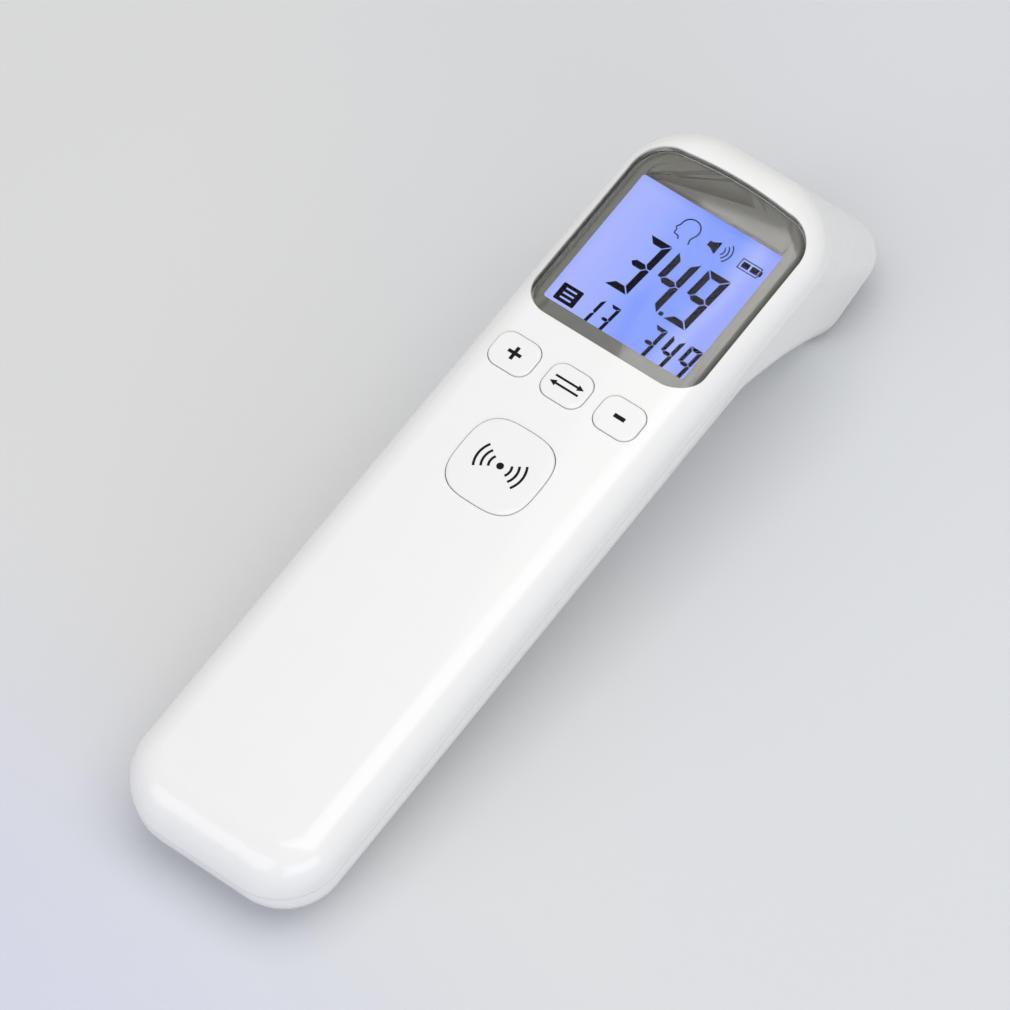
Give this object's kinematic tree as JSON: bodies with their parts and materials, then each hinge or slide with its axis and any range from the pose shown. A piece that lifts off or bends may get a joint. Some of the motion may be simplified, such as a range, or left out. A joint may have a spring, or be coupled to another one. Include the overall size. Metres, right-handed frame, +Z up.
{
  "type": "infrared forehead thermometer",
  "caption": "Hand-held non-contact thermometer: slim white handle, lit display window, four keys, turned-down sensor snout and a sliding battery cover.",
  "frame": {"origin": "centre of the footprint, on the surface that the thermometer lies on", "axes": "+Z up, +Y from the handle's end towards the head, +X to the right as the display is read; the thermometer lies on its back on the handle's rounded end and the snout's low rim edge, so its front face is tilted by about 9.0 degrees"},
  "size_m": [0.038, 0.1628, 0.0397],
  "materials": {
    "white_abs": "gloss moulded ABS",
    "key_white": "gloss moulded ABS keys",
    "lens": "clear acrylic window",
    "border_print": "printed grey border",
    "tape": "black foam tape",
    "insert_grey": "dark grey moulded insert",
    "switch_black": "black tact switch housing",
    "plunger": "switch plunger",
    "lcd_film": "polarising film",
    "lcd_glass": "display glass",
    "light_guide": "lit acrylic light guide",
    "lamp": "side-firing lamps",
    "holder_white": "white display frame",
    "zebra": "elastomeric connector",
    "board_green": "solder-masked circuit board",
    "chip_black": "moulded package",
    "chip_tan": "ceramic chips",
    "crystal_can": "crystal can",
    "cell": "labelled cell",
    "contact": "plated contacts",
    "spring": "plated spring wire",
    "cup_metal": "turned optical cup",
    "can_metal": "sensor can",
    "silicon": "infrared filter window",
    "seal": "foam seal",
    "ribbon": "flat cable",
    "screw": "plated screws"
  },
  "bodies": {
    "casing": {"backlight_guide": "light_guide", "backlight_leds": "lamp", "battery_bridge": "contact", "battery_left": "cell", "battery_negative_contact": "contact", "battery_positive_contact": "contact", "battery_right": "cell", "board_screws": "screw", "bridge_spring": "spring", "buzzer": "chip_black", "case_screws": "screw", "chip_capacitors": "chip_tan", "clock_crystal": "crystal_can", "front_cover": "white_abs", "lcd_front_glass": "lcd_glass", "lcd_front_polariser": "lcd_film", "lcd_holder": "holder_white", "lcd_rear_glass": "lcd_glass", "lcd_rear_polariser": "lcd_film", "main_board": "board_green", "memory_chip": "chip_black", "microcontroller": "chip_black", "minus_switch": "switch_black", "mode_switch": "switch_black", "negative_spring": "spring", "nozzle_ring": "insert_grey", "plus_switch": "switch_black", "rear_cover": "white_abs", "retainer_screws": "screw", "scan_switch": "switch_black", "sensor_board": "board_green", "sensor_cup": "cup_metal", "sensor_pins": "contact", "sensor_ribbon": "ribbon", "sensor_seal": "seal", "sensor_window": "silicon", "thermopile_can": "can_metal", "window_border": "border_print", "window_lens": "lens", "window_tape": "tape", "zebra_strip": "zebra"},
    "plus_key": {"plus_button": "key_white", "plus_plunger": "plunger"},
    "mode_key": {"mode_button": "key_white", "mode_plunger": "plunger"},
    "minus_key": {"minus_button": "key_white", "minus_plunger": "plunger"},
    "scan_key": {"scan_button": "key_white", "scan_plunger": "plunger"},
    "battery_door": {"battery_cover": "white_abs"}
  },
  "joints": [
    {"name": "plus_press", "type": "slide", "parent": "casing", "child": "plus_key", "axis": [0, 0.1561, -0.9877], "range_m": [0, 0.0004], "stiffness_N_per_m": 1500, "springref_m": -0.0003},
    {"name": "mode_press", "type": "slide", "parent": "casing", "child": "mode_key", "axis": [0, 0.1561, -0.9877], "range_m": [0, 0.0004], "stiffness_N_per_m": 1500, "springref_m": -0.0003},
    {"name": "minus_press", "type": "slide", "parent": "casing", "child": "minus_key", "axis": [0, 0.1561, -0.9877], "range_m": [0, 0.0004], "stiffness_N_per_m": 1500, "springref_m": -0.0003},
    {"name": "scan_press", "type": "slide", "parent": "casing", "child": "scan_key", "axis": [0, 0.1561, -0.9877], "range_m": [0, 0.0004], "stiffness_N_per_m": 1500, "springref_m": -0.0003},
    {"name": "battery_cover_slide", "type": "slide", "parent": "casing", "child": "battery_door", "axis": [0, -0.9877, -0.1561], "range_m": [0, 0.008]}
  ]
}
